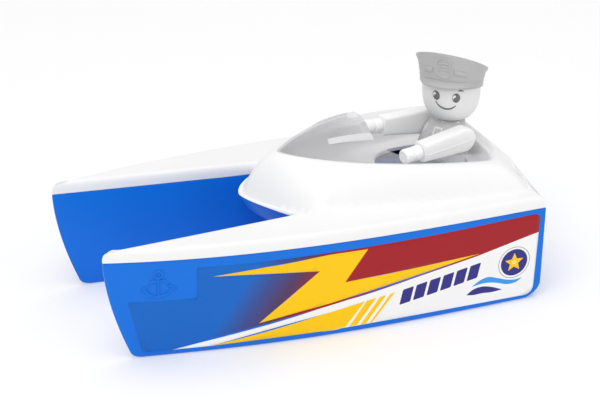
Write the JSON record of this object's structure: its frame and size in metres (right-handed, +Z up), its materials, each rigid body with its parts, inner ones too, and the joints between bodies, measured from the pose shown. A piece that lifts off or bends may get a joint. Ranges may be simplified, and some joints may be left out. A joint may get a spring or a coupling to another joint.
{
  "type": "toy police catamaran",
  "caption": "Toy catamaran speedboat with a clear smoked windscreen and a lift-out driver in a peaked cap.",
  "frame": {"origin": "centre of the bounding box at the floor the floats stand on", "axes": "+X towards the bows, +Y to port, +Z up"},
  "size_m": [0.25, 0.1368, 0.1334],
  "materials": {
    "blue_plastic": "semi-gloss moulded blue",
    "white_plastic": "semi-gloss moulded white",
    "smoked_clear": "clear smoke-tinted moulding",
    "screw_steel": "zinc plated",
    "sticker_print": "printed gloss film",
    "grey_plastic": "satin grey",
    "dark_grey_plastic": "satin dark grey",
    "pale_grey_plastic": "satin pale grey",
    "off_white_plastic": "satin off-white"
  },
  "bodies": {
    "boat": {"port_float": "blue_plastic", "starboard_float": "blue_plastic", "tunnel_roof": "blue_plastic", "upper_deck": "white_plastic", "cockpit_tub": "white_plastic", "windscreen": "smoked_clear", "seat": "blue_plastic", "hull_screws": "screw_steel", "port_sticker": "sticker_print", "starboard_sticker": "sticker_print"},
    "driver": {"driver_torso": "grey_plastic", "hip_pin": "screw_steel"},
    "legs": {"driver_legs": "dark_grey_plastic"},
    "head": {"driver_head": "pale_grey_plastic"},
    "cap": {"driver_cap": "grey_plastic"},
    "left_arm": {"left_arm": "off_white_plastic"},
    "right_arm": {"right_arm": "off_white_plastic"},
    "left_hand": {"left_hand": "pale_grey_plastic"},
    "right_hand": {"right_hand": "pale_grey_plastic"}
  },
  "joints": [
    {"name": "driver_lift", "type": "slide", "parent": "boat", "child": "driver", "axis": [0, 0, 1], "range_m": [0, 0.08]},
    {"name": "hips", "type": "hinge", "parent": "driver", "child": "legs", "pos_m": [-0.0915, 0, 0.0603], "axis": [0.2756, -0.9613, 0], "range_deg": [0, 10]},
    {"name": "neck", "type": "hinge", "parent": "driver", "child": "head", "pos_m": [-0.09823, -0.00193, 0.09], "axis": [0, 0, 1], "continuous": true},
    {"name": "cap_pull", "type": "slide", "parent": "head", "child": "cap", "axis": [0, 0, 1], "range_m": [0, 0.025]},
    {"name": "left_shoulder", "type": "hinge", "parent": "driver", "child": "left_arm", "pos_m": [-0.09635, 0.01692, 0.083], "axis": [0.2756, -0.9613, 0], "range_deg": [-1, 42]},
    {"name": "right_shoulder", "type": "hinge", "parent": "driver", "child": "right_arm", "pos_m": [-0.08665, -0.01692, 0.083], "axis": [0.2756, -0.9613, 0], "range_deg": [-12, 30]},
    {"name": "left_wrist", "type": "hinge", "parent": "left_arm", "child": "left_hand", "pos_m": [-0.09635, 0.01692, 0.083], "axis": [0.9613, 0.2756, 0], "range_deg": [-90, 90]},
    {"name": "right_wrist", "type": "hinge", "parent": "right_arm", "child": "right_hand", "pos_m": [-0.08665, -0.01692, 0.083], "axis": [0.9507, 0.2726, 0.1478], "range_deg": [-90, 90]}
  ]
}
